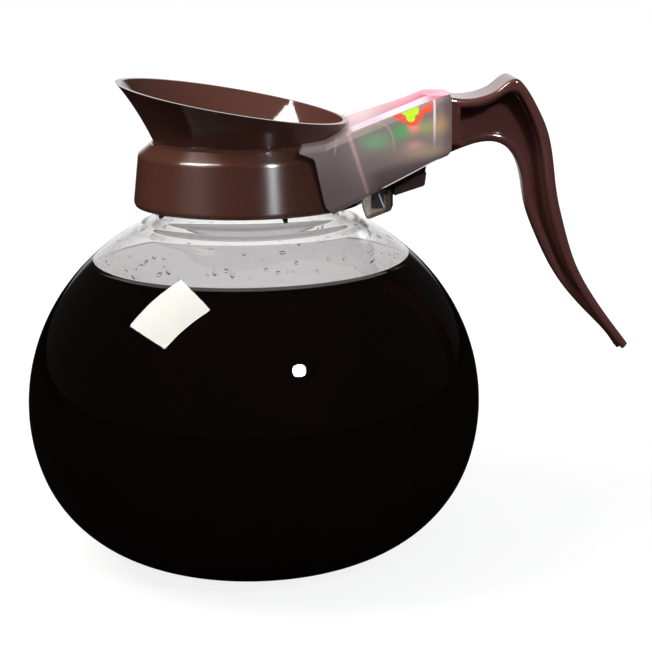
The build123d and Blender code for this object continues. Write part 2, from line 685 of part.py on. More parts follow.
def plug(grow):
    """Plug of the handle in the housing's rear mouth, grown by grow."""
    tall = PLUG_HIGH - PLUG_LOW + 2 * grow
    face = RectangleRounded(2 * (PLUG_HALF + grow), tall, PLUG_ROUND + grow)
    middle = (PLUG_FRONT_X - grow, 0, (PLUG_LOW + PLUG_HIGH) / 2)
    plane = Plane(origin=middle, x_dir=(0, 1, 0), z_dir=(1, 0, 0))
    return extrude(plane * face, HANDLE_START_X - PLUG_FRONT_X + PLUG_ROOT + grow)


def smooth(points):
    return Spline(*points)


def strip(outer, inner):
    """Face between two open curves that run the same way."""
    return make_face([outer, Line(outer @ 1, inner @ 1), inner, Line(inner @ 0, outer @ 0)])


def moved_in(points, distance):
    """Points shifted square to their path, to its left for a positive distance."""
    shifted = []
    for i, (x, z) in enumerate(points):
        before = points[max(i - 1, 0)]
        after = points[min(i + 1, len(points) - 1)]
        dx, dz = after[0] - before[0], after[1] - before[1]
        size = hypot(dx, dz)
        shifted.append((x - dz / size * distance, z + dx / size * distance))
    return shifted


def long_edges(shape):
    """Edges that run the length of the grip."""
    return shape.edges().filter_by(lambda e: e.length > LONG_EDGE)


def make_grip():
    """I-shaped grip: a tapering outer flange, a web and an inner bead."""
    outer, inner = smooth(OUTER_PATH), smooth(INNER_PATH)
    flange = side_plate(strip(outer, smooth(FLANGE_PATH)), FLANGE_HALF_TOP)
    high = max(z for x, z in OUTER_PATH) + PAST
    low = min(z for x, z in INNER_PATH) - PAST
    far = 2 * max(x for x, z in OUTER_PATH)
    taper = outline(((-FLANGE_HALF_TOP, high), (FLANGE_HALF_TOP, high),
                     (FLANGE_HALF_TIP, low), (-FLANGE_HALF_TIP, low)))
    flange &= extrude(Plane.YZ * taper, far)
    flange = fillet(long_edges(flange), FLANGE_ROUND)
    bead = side_plate(strip(smooth(moved_in(INNER_PATH, BEAD_THICK)), inner), BEAD_HALF)
    bead = fillet(long_edges(bead), BEAD_ROUND)
    body = flange + side_plate(strip(outer, inner), WEB_THICK / 2) + bead
    roots = long_edges(body).filter_by(lambda e: abs(abs(e.center().Y) - WEB_THICK / 2) < FACE_GAP)
    body = fillet(roots.sort_by(Axis.Z)[-2:], WEB_FILLET)
    behind_plug = Box(far, far, 2 * far, align=(Align.MIN, Align.CENTER, Align.CENTER))
    return body & Pos(HANDLE_START_X, 0, 0) * behind_plug


def make_lug():
    """Lug at the tongue's front end, which stands between the band's ears."""
    half = EAR_SPACE / 2 - FACE_GAP
    long = LUG_BACK_X - LUG_FRONT_X
    lug = Box(long, 2 * half, LUG_TALL, align=(Align.MIN, Align.CENTER, Align.CENTER))
    neck_high = tongue_high() - LUG_TRIM
    neck = sloped_box(along(LUG_BACK_X), TONGUE_FRONT_U + TONGUE_OVERLAP, half, tongue_low(), neck_high)
    return Pos(LUG_FRONT_X, 0, band_screw_z()) * lug + neck


def make_handle():
    tongue_back = along(PLUG_FRONT_X) + TONGUE_OVERLAP
    tongue = sloped_box(TONGUE_FRONT_U, tongue_back, TONGUE_HALF, tongue_low(), tongue_high())
    body = make_grip() + plug(0) + tongue + make_lug() - band_screw_hole()
    for u, y in spots(BOARD_SCREW_U, BOARD_SCREW_Y):
        tall = BOARD_W - FACE_GAP - tongue_high() + PAST
        body += sloped(u, y, tongue_high() - PAST) * Cylinder(POST_RADIUS, tall, align=BASE)
        hole = Cylinder(BOARD_SCREW / 2, BOARD_SCREW_DEEP + PAST, align=BASE)
        body -= sloped(u, y, BOARD_W - BOARD_SCREW_DEEP) * hole
    for u, y in spots(BASE_SCREW_U, BASE_SCREW_Y):
        body -= sloped(u, y, 0) * Cylinder(BASE_SCREW / 2, screw_end(), align=BASE)
    return body


def tongue_low():
    return HOUSE_FLOOR_THICK + FACE_GAP


def tongue_high():
    return HOUSE_FLOOR_THICK + TONGUE_THICK


def screw_end():
    """Height w of the base screws' points."""
    return BASE_SCREW_HEAD_TALL + PLATE_THICK + BASE_SCREW_DEEP


def make_base_screws():
    shank = Cylinder(BASE_SCREW / 2, screw_end() - 2 * SCREW_SUNK, align=BASE)
    head = Cylinder(BASE_SCREW_HEAD / 2, BASE_SCREW_HEAD_TALL - SCREW_SUNK, align=BASE)
    screw = shank + head - cross_slot(BASE_SCREW_HEAD)
    return [sloped(u, y, SCREW_SUNK) * screw for u, y in spots(BASE_SCREW_U, BASE_SCREW_Y)]


def make_board():
    board = sloped_box(BOARD_FRONT_U, BOARD_BACK_U, BOARD_HALF, BOARD_W, BOARD_W + BOARD_THICK)
    hole = Cylinder(BOARD_SCREW / 2 + FIT_GAP, BOARD_THICK + 2 * PAST, align=BASE)
    for u, y in spots(BOARD_SCREW_U, BOARD_SCREW_Y):
        board -= sloped(u, y, BOARD_W - PAST) * hole
    return board


def board_top():
    return BOARD_W + BOARD_THICK + FACE_GAP


def make_board_screws():
    low = BOARD_W - BOARD_SCREW_DEEP + LOOSE_GAP
    under_head = board_top() - low
    shank = Cylinder(BOARD_SCREW / 2, under_head + BOARD_SCREW_HEAD_TALL / 2, align=BASE)
    head = Pos(0, 0, under_head) * Cylinder(BOARD_SCREW_HEAD / 2, BOARD_SCREW_HEAD_TALL, align=BASE)
    slot = Pos(0, 0, under_head + BOARD_SCREW_HEAD_TALL) * cross_slot(BOARD_SCREW_HEAD)
    screw = shank + head - slot
    return [sloped(u, y, low) * screw for u, y in spots(BOARD_SCREW_U, BOARD_SCREW_Y)]


def make_led(place):
    rim = Cylinder(LED_RIM_RADIUS, LED_RIM_TALL, align=BASE)
    body = Cylinder(LED_RADIUS, LED_BODY_TALL, align=BASE)
    dome = Pos(0, 0, LED_BODY_TALL) * Sphere(LED_RADIUS)
    clip = Cylinder(LED_RIM_RADIUS, LED_BODY_TALL + 2 * LED_RADIUS, align=BASE)
    return sloped(LED_U, place * LED_SPACING, board_top()) * ((rim + body + dome) & clip)


def guide_arc(rise):
    """Sagging line of the guide's bar, raised by rise."""
    half = GUIDE_HALF_LONG
    return ThreePointArc((-half, GUIDE_RISE + rise), (0, rise), (half, GUIDE_RISE + rise))


def make_guide():
    """Clear gull-wing bar over the lights, on two legs that stand on the board."""
    bar = side_plate(strip(guide_arc(GUIDE_THICK), guide_arc(0)), GUIDE_HALF)
    bar = sloped(LED_U, 0, GUIDE_CENTRE_W) * bar
    front, back = LED_U - GUIDE_LEG_FRONT, LED_U + GUIDE_LEG_BACK
    high = GUIDE_CENTRE_W + GUIDE_THICK
    for side in (-1, 1):
        y = side * (GUIDE_HALF - GUIDE_LEG / 2)
        bar += sloped_box(front, back, GUIDE_LEG / 2, board_top(), high, y)
    return bar


def make_chip():
    long, wide, tall = CHIP_SIZE
    body = Box(long, wide, tall, align=BASE)
    legs = Box(long - 2 * CHIP_LEG_INSET, wide + 2 * CHIP_LEG_REACH, CHIP_LEG_THICK, align=BASE)
    return sloped(CHIP_U, 0, board_top()) * (body + legs)


def cell_frame(side):
    """Frame on the inner face of one button cell, local Z pointing outwards."""
    middle = sloped(CELL_U, side * CELL_Y, CELL_W).origin
    return Plane(origin=middle, x_dir=(1, 0, 0), z_dir=(0, side, 0))


def make_cells():
    can = Cylinder(CELL_RADIUS, CELL_THICK, align=BASE)
    can = fillet(can.edges().filter_by(GeomType.CIRCLE), CELL_ROUND)
    return [cell_frame(side) * can for side in (-1, 1)]


def make_clips():
    """U-shaped steel clips that hold the button cells against the board's edges."""
    y_in, y_out = CELL_Y - FACE_GAP - CLIP_THICK, CELL_Y + CELL_THICK + FACE_GAP
    low = CELL_W - CELL_RADIUS - FACE_GAP - CLIP_THICK
    u_low, u_high = CELL_U - CLIP_WIDE / 2, CELL_U + CLIP_WIDE / 2
    half = (y_out + CLIP_THICK - y_in) / 2
    clips = []
    for side in (-1, 1):
        clip = sloped_box(u_low, u_high, half, low, low + CLIP_THICK, (y_in + half) * side)
        for y in (y_in, y_out):
            middle = (y + CLIP_THICK / 2) * side
            clip += sloped_box(u_low, u_high, CLIP_THICK / 2, low, low + CLIP_TALL, middle)
        clips.append(clip)
    return clips


def lever_line(x):
    """Height of the lever's top face at x."""
    return SLOPE_Z + (x - SLOPE_X) * tan(radians(SLOPE)) - LEVER_TOP_DROP


def make_lever():
    root_top = lever_line(LEVER_ROOT_X)
    root_low = root_top - LEVER_THICK
    end_low = root_low + (LEVER_END_X - LEVER_ROOT_X) * tan(radians(LEVER_SLANT))
    nose_top = lever_line(NOSE_FRONT_X)
    face = outline(((LEVER_ROOT_X, root_top), (NOSE_FRONT_X, nose_top),
                    (LEVER_END_X + LEVER_END_LEAN, lever_line(LEVER_END_X)),
                    (LEVER_END_X, end_low), (LEVER_ROOT_X, root_low)))
    face = fillet(face.vertices().sort_by_distance((LEVER_END_X, end_low))[0], LEVER_END_ROUND)
    knuckle = cross_rod(KNUCKLE_RADIUS, KNUCKLE_LEFT, KNUCKLE_RIGHT, PIVOT_X, PIVOT_Z)
    body = side_plate(face, LEVER_HALF) + knuckle
    link_x = LEVER_ROOT_X + PAST
    link_face = outline(((PIVOT_X, PIVOT_Z - KNUCKLE_RADIUS), (PIVOT_X, PIVOT_Z + KNUCKLE_RADIUS),
                         (link_x, root_top - LINK_INSET), (link_x, root_low + LINK_INSET)))
    link = side_plate(link_face, (KNUCKLE_RIGHT - KNUCKLE_LEFT) / 2)
    body += Pos(0, (KNUCKLE_RIGHT + KNUCKLE_LEFT) / 2, 0) * link
    front, back = nose_u()
    tip = sloped(back, 0, NOSE_RISE).origin
    shoulder = sloped(front, 0, -NOSE_SHOULDER_DROP).origin
    nose_face = outline(((NOSE_FRONT_X, nose_top - NOSE_ROOT_DEEP), (NOSE_FRONT_X, nose_top),
                         (shoulder.X, shoulder.Z), (tip.X, tip.Z), (LEVER_END_X, end_low + NOSE_HEEL_RISE)))
    body += side_plate(nose_face, NOSE_HALF)
    return body - cross_rod(PIN_RADIUS + PIN_GAP, -LEVER_HALF, LEVER_HALF, PIVOT_X, PIVOT_Z)


def make_pin():
    reach = FOOT_HALF - LOOSE_GAP
    return cross_rod(PIN_RADIUS, -reach, reach, PIVOT_X, PIVOT_Z)


def least_gap(coil, wire):
    """Smallest gap of the coiled wire to its own next turn, measured on points."""
    count = SPRING_POINT_COUNT * SPRING_TURNS
    points = [coil @ (i / count) for i in range(count + 1)]
    later = SPRING_POINT_COUNT // 2
    return min((a - b).length for i, a in enumerate(points) for b in points[i + later:]) - wire


def make_spring():
    coil = Helix(SPRING_PITCH, SPRING_PITCH * SPRING_TURNS, SPRING_COIL_RADIUS)
    wire = sweep(Plane(origin=coil @ 0, z_dir=coil % 0) * Circle(SPRING_WIRE / 2), coil)
    start = KNUCKLE_RIGHT + FIT_GAP + SPRING_WIRE / 2
    print("least gap between the spring's turns:", round(least_gap(coil, SPRING_WIRE), 3), "mm")
    return Pos(PIVOT_X, start, PIVOT_Z) * Rot(-90, 0, 0) * wire


def parts():
    """Every piece of the decanter, by name and in its place."""
    on_base = {"glass_bowl": [make_bowl()]}
    on_rim = {
        "neck_band": [make_band()],
        "neck_spacer": [make_spacer()],
        "collar": [make_collar()],
        "rim_gasket": [make_gasket()],
        "pouring_funnel": [make_funnel()],
    }
    behind_neck = {
        "band_screw": [make_band_screw()],
        "band_nut": [make_band_nut()],
        "handle": [make_handle()],
        "module_housing": [make_housing()],
        "module_base": [make_base()],
        "base_seal": [make_seal()],
        "base_screws": make_base_screws(),
        "circuit_board": [make_board()],
        "board_screws": make_board_screws(),
        "led_red": [make_led(-1)],
        "led_green": [make_led(0)],
        "led_amber": [make_led(1)],
        "light_guide": [make_guide()],
        "timer_chip": [make_chip()],
        "button_cells": make_cells(),
        "cell_clips": make_clips(),
        "heat_sensor": [sensor_box(0)],
        "sensor_leads": make_leads(),
        "latch_lever": [make_lever()],
        "lever_pin": [make_pin()],
        "lever_spring": [make_spring()],
    }
    places = ((on_base, Pos()), (on_rim, Pos(0, 0, NECK_TOP)), (behind_neck, Pos(NECK_RADIUS, 0, NECK_TOP)))
    for pieces, place in places:
        for name, shapes in pieces.items():
            solids = [place * single(shape, name) for shape in shapes]
            yield name, solids[0] if len(solids) == 1 else Compound(children=solids)


os.makedirs("parts", exist_ok=True)
for name, shape in parts():
    export_step(shape, f"parts/{name}.step")
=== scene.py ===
# %% [markdown]
# # A glass coffee decanter, dressed for its picture
#
# The decanter is a clear glass bowl with a brown plastic collar, a pouring funnel and a handle.
# Between the collar and the handle sits a smoky light module, whose small lights tell how long the
# coffee has been standing. The solid pieces come from a CAD model that is already right in size, so
# this script never moves them. It lights them, gives each one a finish that is made of nodes, and
# adds what the CAD model leaves out: the coffee, drops of water, and finely turned glass.

# %% Load the CAD model as a fixed frame
from math import acos, atan2, cos, exp, hypot, pi, radians, sin, sqrt
from random import Random

import bpy
from mathutils import Matrix, Vector


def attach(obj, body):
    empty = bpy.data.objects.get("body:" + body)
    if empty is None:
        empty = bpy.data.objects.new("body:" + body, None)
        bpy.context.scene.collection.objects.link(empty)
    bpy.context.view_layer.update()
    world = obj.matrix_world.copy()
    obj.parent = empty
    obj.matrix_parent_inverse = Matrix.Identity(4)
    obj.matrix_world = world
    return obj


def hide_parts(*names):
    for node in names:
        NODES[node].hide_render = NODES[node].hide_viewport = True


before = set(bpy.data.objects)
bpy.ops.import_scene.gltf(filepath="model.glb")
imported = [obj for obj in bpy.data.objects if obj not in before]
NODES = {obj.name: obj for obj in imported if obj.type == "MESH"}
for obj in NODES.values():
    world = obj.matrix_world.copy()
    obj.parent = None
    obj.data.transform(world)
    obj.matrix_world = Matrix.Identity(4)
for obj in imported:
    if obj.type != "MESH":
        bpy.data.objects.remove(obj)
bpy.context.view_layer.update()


# %% [markdown]
# ## The camera
#
# The picture was taken from in front and a little above, looking slightly to the right. A camera
# could be aimed with a Track To constraint, but then its roll can't be set. Here its three axes are
# worked out from a pitch, a yaw and a roll, and put straight into its matrix, so that the render
# can be laid over the picture.

# %% Set up the camera
IMAGE_WIDTH = 652
FOCAL_PIXELS = 1664.73
SENSOR_MM = 36
NEAREST_SEEN = 0.01
EYE = Vector((0, -0.59277, 0.22697))
PITCH, YAW, ROLL = radians(13.7062), radians(2.57495), radians(-0.85221)


def camera_axes(pitch, yaw, roll):
    """The camera's right, up and backward directions."""
    forward = Vector((sin(yaw) * cos(pitch), cos(yaw) * cos(pitch), -sin(pitch)))
    level = Vector((cos(yaw), -sin(yaw), 0))
    upright = level.cross(forward)
    right = level * cos(roll) + upright * sin(roll)
    up = upright * cos(roll) - level * sin(roll)
    return right, up, -forward


camera_data = bpy.data.cameras.new("camera")
camera_data.sensor_width = SENSOR_MM
camera_data.lens = SENSOR_MM * FOCAL_PIXELS / IMAGE_WIDTH
camera_data.clip_start = NEAREST_SEEN
camera = bpy.data.objects.new("camera", camera_data)
bpy.context.scene.collection.objects.link(camera)
turn = Matrix(camera_axes(PITCH, YAW, ROLL)).transposed().to_4x4()
camera.matrix_world = Matrix.Translation(EYE) @ turn
bpy.context.scene.camera = camera
bpy.context.scene.view_settings.view_transform = "Standard"
print("lens:", round(camera_data.lens, 2), "mm")

# %% [markdown]
# ## A short way to write shader nodes
#
# Each finish is a small network of nodes. Adding them by hand takes many lines, so three small
# classes do it. A Value stands for one output socket: sums, products and powers of Values add the
# Math nodes for them. A Network adds every other node, and a Finish is the network of one material.

# %% Values: sockets that Python's operators work on
class Value:
    """One output socket, which Python's operators turn into Math nodes."""

    def __init__(self, owner, socket):
        self.owner = owner
        self.socket = socket

    def maths(self, operation, first, second):
        return self.owner.add("ShaderNodeMath", {"operation": operation}, {0: first, 1: second})[0]

    def __add__(self, other):
        return self.maths("ADD", self, other)

    __radd__ = __add__

    def __sub__(self, other):
        return self.maths("SUBTRACT", self, other)

    def __rsub__(self, other):
        return self.maths("SUBTRACT", other, self)

    def __mul__(self, other):
        return self.maths("MULTIPLY", self, other)

    __rmul__ = __mul__

    def __truediv__(self, other):
        return self.maths("DIVIDE", self, other)

    def __pow__(self, other):
        return self.maths("POWER", self, other)

    def __rpow__(self, other):
        return self.maths("POWER", other, self)

    def size(self):
        """The value without its sign."""
        return self.maths("ABSOLUTE", self, 0)

    def or_more(self, other):
        """The larger one of two values, which joins two masks."""
        return self.maths("MAXIMUM", self, other)

    def rise(self, start, end):
        """0 before start and 1 after end, with a soft slope between."""
        settings = {"interpolation_type": "SMOOTHSTEP"}
        ends = {"From Min": start, "From Max": end}
        return self.owner.add("ShaderNodeMapRange", settings, {0: self, **ends})[0]

    def within(self, start, end, soft):
        """1 between start and end, fading over soft outside them."""
        return self.rise(start - soft, start) * (1 - self.rise(end, end + soft))


# %% Networks and finishes
FADE = 0.12
GENERATED, OBJECT, NORMAL = 0, 3, 1
MIX_SHARE, MIX_FIRST, MIX_SECOND = 0, 6, 7


class Network:
    """The nodes of one material or world."""

    def __init__(self, tree):
        self.tree = tree

    def add(self, kind, settings=None, sockets=None):
        """Adds a node, sets its settings, then its sockets, and returns its outputs as Values."""
        node = self.tree.nodes.new(kind)
        for name, value in (settings or {}).items():
            setattr(node, name, value)
        self.feed(node, sockets or {})
        return [Value(self, socket) for socket in node.outputs if socket.enabled]

    def feed(self, node, sockets):
        """Sets a node's sockets to numbers and colours, or links them to Values."""
        for name, value in sockets.items():
            socket = node.inputs[name]
            if isinstance(value, Value):
                self.tree.links.new(value.socket, socket)
            else:
                socket.default_value = value

    def mix(self, share, first, second):
        """Colour between first and second."""
        sockets = {MIX_SHARE: share, MIX_FIRST: first, MIX_SECOND: second}
        return self.add("ShaderNodeMix", {"data_type": "RGBA"}, sockets)[0]


class Finish(Network):
    """One material with a Principled surface, measured in millimetres of the object."""

    def __init__(self, name, **constants):
        self.material = bpy.data.materials.new(name)
        self.material.use_nodes = True
        super().__init__(self.material.node_tree)
        self.surface = self.tree.nodes["Principled BSDF"]
        self.set(**constants)

    def set(self, **sockets):
        """Sets sockets of the surface: base_color=... is the socket Base Color."""
        for name, value in sockets.items():
            title = name.replace("_", " ").title().replace("Ior", "IOR")
            self.feed(self.surface, {title: value})

    def place(self):
        """X, Y and Z of the surface point, in millimetres."""
        vector = self.add("ShaderNodeTexCoord")[OBJECT]
        parts = self.add("ShaderNodeSeparateXYZ", None, {0: vector})
        return [part * 1000 for part in parts]

    def grain(self, per_mm, detail=2.0, rough=0.5, stretch=(1, 1, 1)):
        """Noise from 0 to 1 with so many waves in a millimetre."""
        vector = self.add("ShaderNodeTexCoord")[OBJECT]
        sockets = {"Vector": vector, "Scale": [1000 * per_mm * s for s in stretch]}
        vector = self.add("ShaderNodeMapping", None, sockets)[0]
        sockets = {"Vector": vector, "Scale": 1.0, "Detail": detail, "Roughness": rough}
        return self.add("ShaderNodeTexNoise", None, sockets)[0]

    def spot(self, across, centre, reach):
        """1 at the centre of an oval patch and FADE at its edge, over two coordinates in mm."""
        first, second = [(c - middle) / far for c, middle, far in zip(across, centre, reach)]
        return FADE ** (first * first + second * second)

    def facing(self):
        """X, Y and Z of the direction that the surface faces, before any bump."""
        direction = self.add("ShaderNodeNewGeometry")[NORMAL]
        return self.add("ShaderNodeSeparateXYZ", None, {0: direction})

    def relief(self, height, depth_mm):
        """Bump whose full height is so many millimetres."""
        sockets = {"Height": height, "Distance": depth_mm / 1000, "Strength": 1.0}
        self.set(normal=self.add("ShaderNodeBump", None, sockets)[0])


# %% Colours, and putting a finish on
def srgb(red, green, blue):
    """Linear colour of a screen colour with parts from 0 to 255."""
    def linear(part):
        part = part / 255
        return part / 12.92 if part <= 0.04045 else ((part + 0.055) / 1.055) ** 2.4
    return (linear(red), linear(green), linear(blue), 1)


def wear(finish, *names):
    """Gives CAD nodes that finish."""
    for name in names:
        node = NODES[name]
        node.data.materials.clear()
        node.data.materials.append(finish.material)
    print(finish.material.name, "on", ", ".join(names))


WHITE, BLACK = (1, 1, 1, 1), (0, 0, 0, 1)

# %% [markdown]
# ## Floor, room and lamps
#
# The real picture was taken on white in a dark room, with one large soft box high on the left and a
# small lamp in front on the right. The round glass mirrors both: a cream tilted square and a round
# dot. A room that is white all round would veil the black coffee with grey. So reflections see
# white only in a narrow part behind the object, which draws the thin bright rims of the glass, and
# dark everywhere else. Matt surfaces get a soft even light that comes mostly from above. Each lamp
# is made twice: one lights the matt surfaces, and a stronger one is seen in the gloss alone.

# %% Paint the room
LIGHT_LOW, LIGHT_HIGH = 0.06, 0.50
LIGHT_FROM, LIGHT_TO = -0.1, 0.9
DARK_ROOM = 0.022
BACK_FROM, BACK_TO = 0.92, 0.995
world = bpy.data.worlds.new("room")
world.use_nodes = True
bpy.context.scene.world = world
room = Network(world.node_tree)


def kinds_of_ray(network, back):
    """Three masks: rays that see the white background, glossy rays and diffuse rays."""
    path = network.add("ShaderNodeLightPath")
    camera_ray, diffuse_ray, glossy_ray, clear_ray = path[0], path[2], path[3], path[6]
    sees_white = camera_ray.or_more(clear_ray).or_more(glossy_ray * back)
    return sees_white, glossy_ray, diffuse_ray


sky_way = room.add("ShaderNodeTexCoord")[GENERATED]
sky = room.add("ShaderNodeSeparateXYZ", None, {0: sky_way})
white, glossy, _ = kinds_of_ray(room, sky[1].rise(BACK_FROM, BACK_TO))
soft_light = LIGHT_LOW + sky[2].rise(LIGHT_FROM, LIGHT_TO) * (LIGHT_HIGH - LIGHT_LOW)
unseen = soft_light * (1 - glossy) + glossy * DARK_ROOM
strength = white + (1 - white) * unseen
room.feed(world.node_tree.nodes["Background"], {"Color": WHITE, "Strength": strength})
print("soft light from", LIGHT_LOW, "below to", LIGHT_HIGH, "above")

# %% Lay the floor
FLOOR_SIZE = 6
FLOOR_GLOW = 0.86
GLOW_FROM, GLOW_TO = 110, 330
MIRRORED_FROM, MIRRORED_TO = 500, 900
SIDEWAYS_FROM, SIDEWAYS_TO = 0.1, 0.3
BOUNCE_HELD_BACK = 0.85
UNLIT = (0.004, 0.004, 0.004, 1)
bpy.ops.object.select_all(action="DESELECT")
bpy.ops.mesh.primitive_plane_add(size=FLOOR_SIZE, location=(0, 0, 0))
floor = bpy.context.object
floor.name = "floor"
paper = Finish("floor_paper", roughness=1.0, specular_ior_level=0.0, emission_strength=1.0)
x, y, _ = paper.place()
sideways = (x / y).size().rise(SIDEWAYS_FROM, SIDEWAYS_TO)
white, glossy, diffuse = kinds_of_ray(paper, y.rise(MIRRORED_FROM, MIRRORED_TO) * (1 - sideways))
fibres = paper.mix(paper.grain(0.05), srgb(122, 122, 124), srgb(128, 128, 129))
unlit = (glossy * (1 - white)).or_more(diffuse * BOUNCE_HELD_BACK)
far_off = (x * x + y * y).rise(GLOW_FROM ** 2, GLOW_TO ** 2)
glow = FLOOR_GLOW + far_off * (1 - FLOOR_GLOW)
paper.set(base_color=paper.mix(unlit, fibres, UNLIT))
paper.set(emission_color=paper.mix(white * glow, BLACK, WHITE))
floor.data.materials.append(paper.material)
print("floor:", FLOOR_SIZE, "metres wide")

# %% Hang the lamps
LAMP_DISTANCE = 1.0
MIRRORED_NEARER = 0.02
BOWL_CENTRE = Vector((0, 0, 0.06))
BOX_WAY, BOX_SIDE, BOX_SIZE = (-0.566, -0.199, 0.800), (0.32, -0.946, 0.03), (0.43, 0.465)
FLASH_WAY, FLASH_SIDE, FLASH_SIZE = (0.348, -0.769, 0.537), (1, 0, 0), (0.105, 0)
CREAM, BLUISH = (1.0, 0.97, 0.90), (0.90, 0.94, 1.0)


def lamp(name, direction, side, size, colour, power, mirrored):
    """Area lamp about a metre away that faces the bowl, seen in gloss alone or lighting alone."""
    data = bpy.data.lights.new(name, "AREA")
    width, height = size
    data.shape = "RECTANGLE" if height else "DISK"
    data.size = width
    data.size_y = height or width
    data.energy = power
    data.color = colour
    holder = bpy.data.objects.new(name, data)
    bpy.context.scene.collection.objects.link(holder)
    back = Vector(direction).normalized()
    across = (Vector(side) - back * back.dot(Vector(side))).normalized()
    turn = Matrix((across, back.cross(across), back)).transposed().to_4x4()
    away = back * (LAMP_DISTANCE - mirrored * MIRRORED_NEARER)
    holder.matrix_world = Matrix.Translation(BOWL_CENTRE + away) @ turn
    holder.visible_camera = False
    holder.visible_glossy = mirrored
    holder.visible_diffuse = not mirrored
    holder.visible_transmission = False


for name, way, side, size, colour, power, mirrored_power in (
        ("soft_box", BOX_WAY, BOX_SIDE, BOX_SIZE, CREAM, 7.0, 16.5),
        ("flash", FLASH_WAY, FLASH_SIDE, FLASH_SIZE, BLUISH, 2.4, 14.0)):
    lamp(name, way, side, size, colour, power, False)
    lamp(name + "_mirrored", way, side, size, colour, mirrored_power, True)

# %% [markdown]
# ## Glass
#
# The bowl is blown glass, polished by the heat: perfectly smooth, with a faint unevenness that
# bends its reflections, and a low moulded ring where the belly meets the neck. The CAD mesh has the
# right shape, but its flat facets show as teeth where glass is seen edge-on. So the bowl is turned
# again from the same arcs with many more rings: an ellipse for the lower and the upper half, a
# round at the base, a small round at the neck and a bead at the rim.

# %% Lines that an outline is made of
MM = 0.001
BOWL_RADIUS, BOWL_WIDEST_Z, BOWL_RISE, BOWL_DROP = 82.5, 55.5, 76.3, 74.6
TRIED_ANGLES, HALVINGS = 1500, 24


def even(start, end, steps):
    """Values from start to end in equal steps, both ends among them."""
    return [start + (end - start) * i / steps for i in range(steps + 1)]


def arc(centre, radius, start, end, steps):
    """Points of a circle from one angle to another, both ends among them."""
    return [(centre[0] + radius * cos(t), centre[1] + radius * sin(t))
            for t in even(start, end, steps)]


def ellipse(inset, turned):
    """Point of the belly at an angle from its widest ring, up or down."""
    half = BOWL_RISE if turned > 0 else BOWL_DROP
    return (BOWL_RADIUS - inset) * cos(turned), BOWL_WIDEST_Z + (half - inset) * sin(turned)


def nearest(inset, centre, low, high):
    """Distance from a centre to the belly between two angles, and the nearest point's angle."""
    def apart(turned):
        radius, z = ellipse(inset, turned)
        return hypot(radius - centre[0], z - centre[1])
    return min((apart(turned), turned) for turned in even(low, high, TRIED_ANGLES))


def halve(low, high, too_low):
    """The value between low and high at which too_low turns false."""
    for _ in range(HALVINGS):
        middle = (low + high) / 2
        low, high = (middle, high) if too_low(middle) else (low, middle)
    return (low + high) / 2


print("widest ring:", BOWL_RADIUS, "mm from the axis,", BOWL_WIDEST_Z, "mm up")

# %% The bowl's outline
BASE_ROUND, GLASS_WALL = 50.0, 2.2
NECK_RADIUS, NECK_ROOT, NECK_TOP = 32.6, 3.0, 146.6
RING_RADIUS, RING_WIDTH, RING_TALL = 40.3, 1.1, 0.35
LOWER_HALF, UPPER_HALF = (-pi / 2, 0), (0.3, pi / 2)
FLAT_STEPS, BASE_STEPS, BELLY_STEPS, ROOT_STEPS = 5, 24, 80, 10


def belly(inset):
    """Outline from the base's middle to the neck's foot, as points of radius and height."""
    curve, root, neck = BASE_ROUND - inset, NECK_ROOT + inset, NECK_RADIUS - inset
    base_x = halve(0, BOWL_RADIUS,
                   lambda x: nearest(inset, (x, BASE_ROUND), *LOWER_HALF)[0] > curve)
    start = nearest(inset, (base_x, BASE_ROUND), *LOWER_HALF)[1]
    touch_x, touch_z = ellipse(inset, start)
    share = (neck + root) / (BOWL_RADIUS - inset)
    skin_z = BOWL_WIDEST_Z + (BOWL_RISE - inset) * sqrt(1 - share * share)
    root_z = halve(skin_z, NECK_TOP,
                   lambda z: nearest(inset, (neck + root, z), *UPPER_HALF)[0] < root)
    end = nearest(inset, (neck + root, root_z), *UPPER_HALF)[1]
    leave_x, leave_z = ellipse(inset, end)
    base_end = atan2(touch_z - BASE_ROUND, touch_x - base_x)
    root_start = atan2(leave_z - root_z, leave_x - neck - root)
    points = [(radius, inset) for radius in even(0, base_x, FLAT_STEPS)[1:-1]]
    points += arc((base_x, BASE_ROUND), curve, -pi / 2, base_end, BASE_STEPS)
    points += [ellipse(inset, turned) for turned in even(start, end, BELLY_STEPS)[1:-1]]
    return points + arc((neck + root, root_z), root, root_start, -pi, ROOT_STEPS)


def raised(point):
    """The point with the moulded ring's height added."""
    radius, z = point
    share = (radius - RING_RADIUS) / RING_WIDTH
    return (radius, z + RING_TALL * exp(-share * share)) if z > BOWL_WIDEST_Z else point


outside = [raised(point) for point in belly(0)]
inner = belly(GLASS_WALL)
neck_foot = [round(v, 1) for v in outside[-1]]
print("outline points:", len(outside), "foot of the neck at", neck_foot, "mm")

# %% Turn an outline into a piece
SMOOTH_ANGLE = radians(40)


